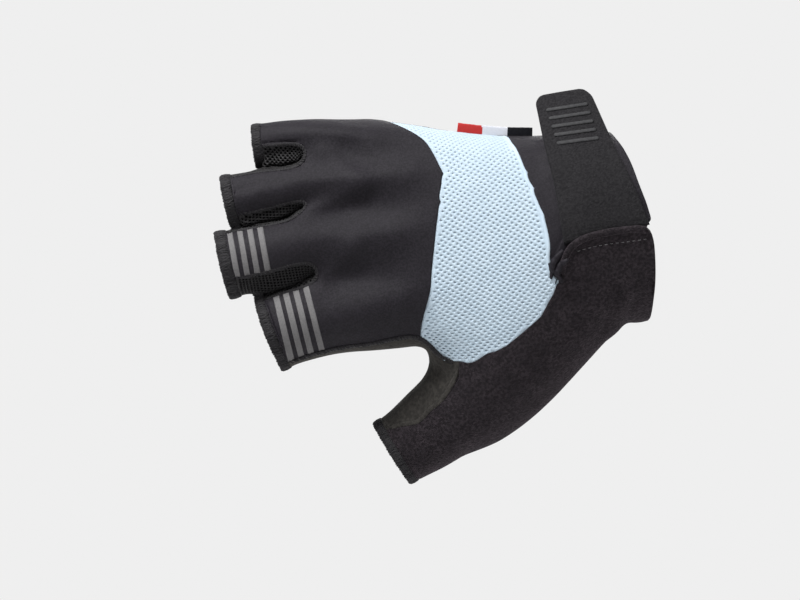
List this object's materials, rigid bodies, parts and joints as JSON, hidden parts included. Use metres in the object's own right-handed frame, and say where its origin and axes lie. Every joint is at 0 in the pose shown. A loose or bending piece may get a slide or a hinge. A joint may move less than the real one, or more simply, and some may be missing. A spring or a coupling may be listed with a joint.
{
  "type": "cycling glove",
  "caption": "Short-finger cycling glove for the right hand, shaped as worn, with an air-mesh back, suede palm, terry thumb and a closing strap with its tip free.",
  "frame": {"origin": "middle of the cuff opening, where the hand goes in", "axes": "-X towards the fingertips, +X out of the cuff along the forearm, -Y out of the back of the hand, +Y out of the palm, +Z towards the side of the little finger, -Z towards the thumb"},
  "size_m": [0.135, 0.0462, 0.124],
  "materials": {
    "knit": "fine matte knit",
    "air_mesh": "open knit mesh",
    "terry": "short dense pile",
    "suede": "brushed suede",
    "gusset_mesh": "coarse open mesh",
    "hem_binding": "overlocked edge",
    "strap": "brushed laminate",
    "moulded_rib": "satin",
    "ribbon": "woven ribbon",
    "reflective_print": "matte grey print",
    "thread": "sewing thread"
  },
  "bodies": {
    "root": {"back_panel": "knit", "mesh_panel": "air_mesh", "wrist_panel": "knit", "thumb_panel": "terry", "palm_panel": "suede", "gusset_little_ring": "gusset_mesh", "gusset_ring_middle": "gusset_mesh", "gusset_middle_index": "gusset_mesh", "hem_little": "hem_binding", "hem_ring": "hem_binding", "hem_middle": "hem_binding", "hem_index": "hem_binding", "hem_thumb": "hem_binding", "cuff_strap": "strap", "side_tab": "ribbon"}
  },
  "joints": []
}
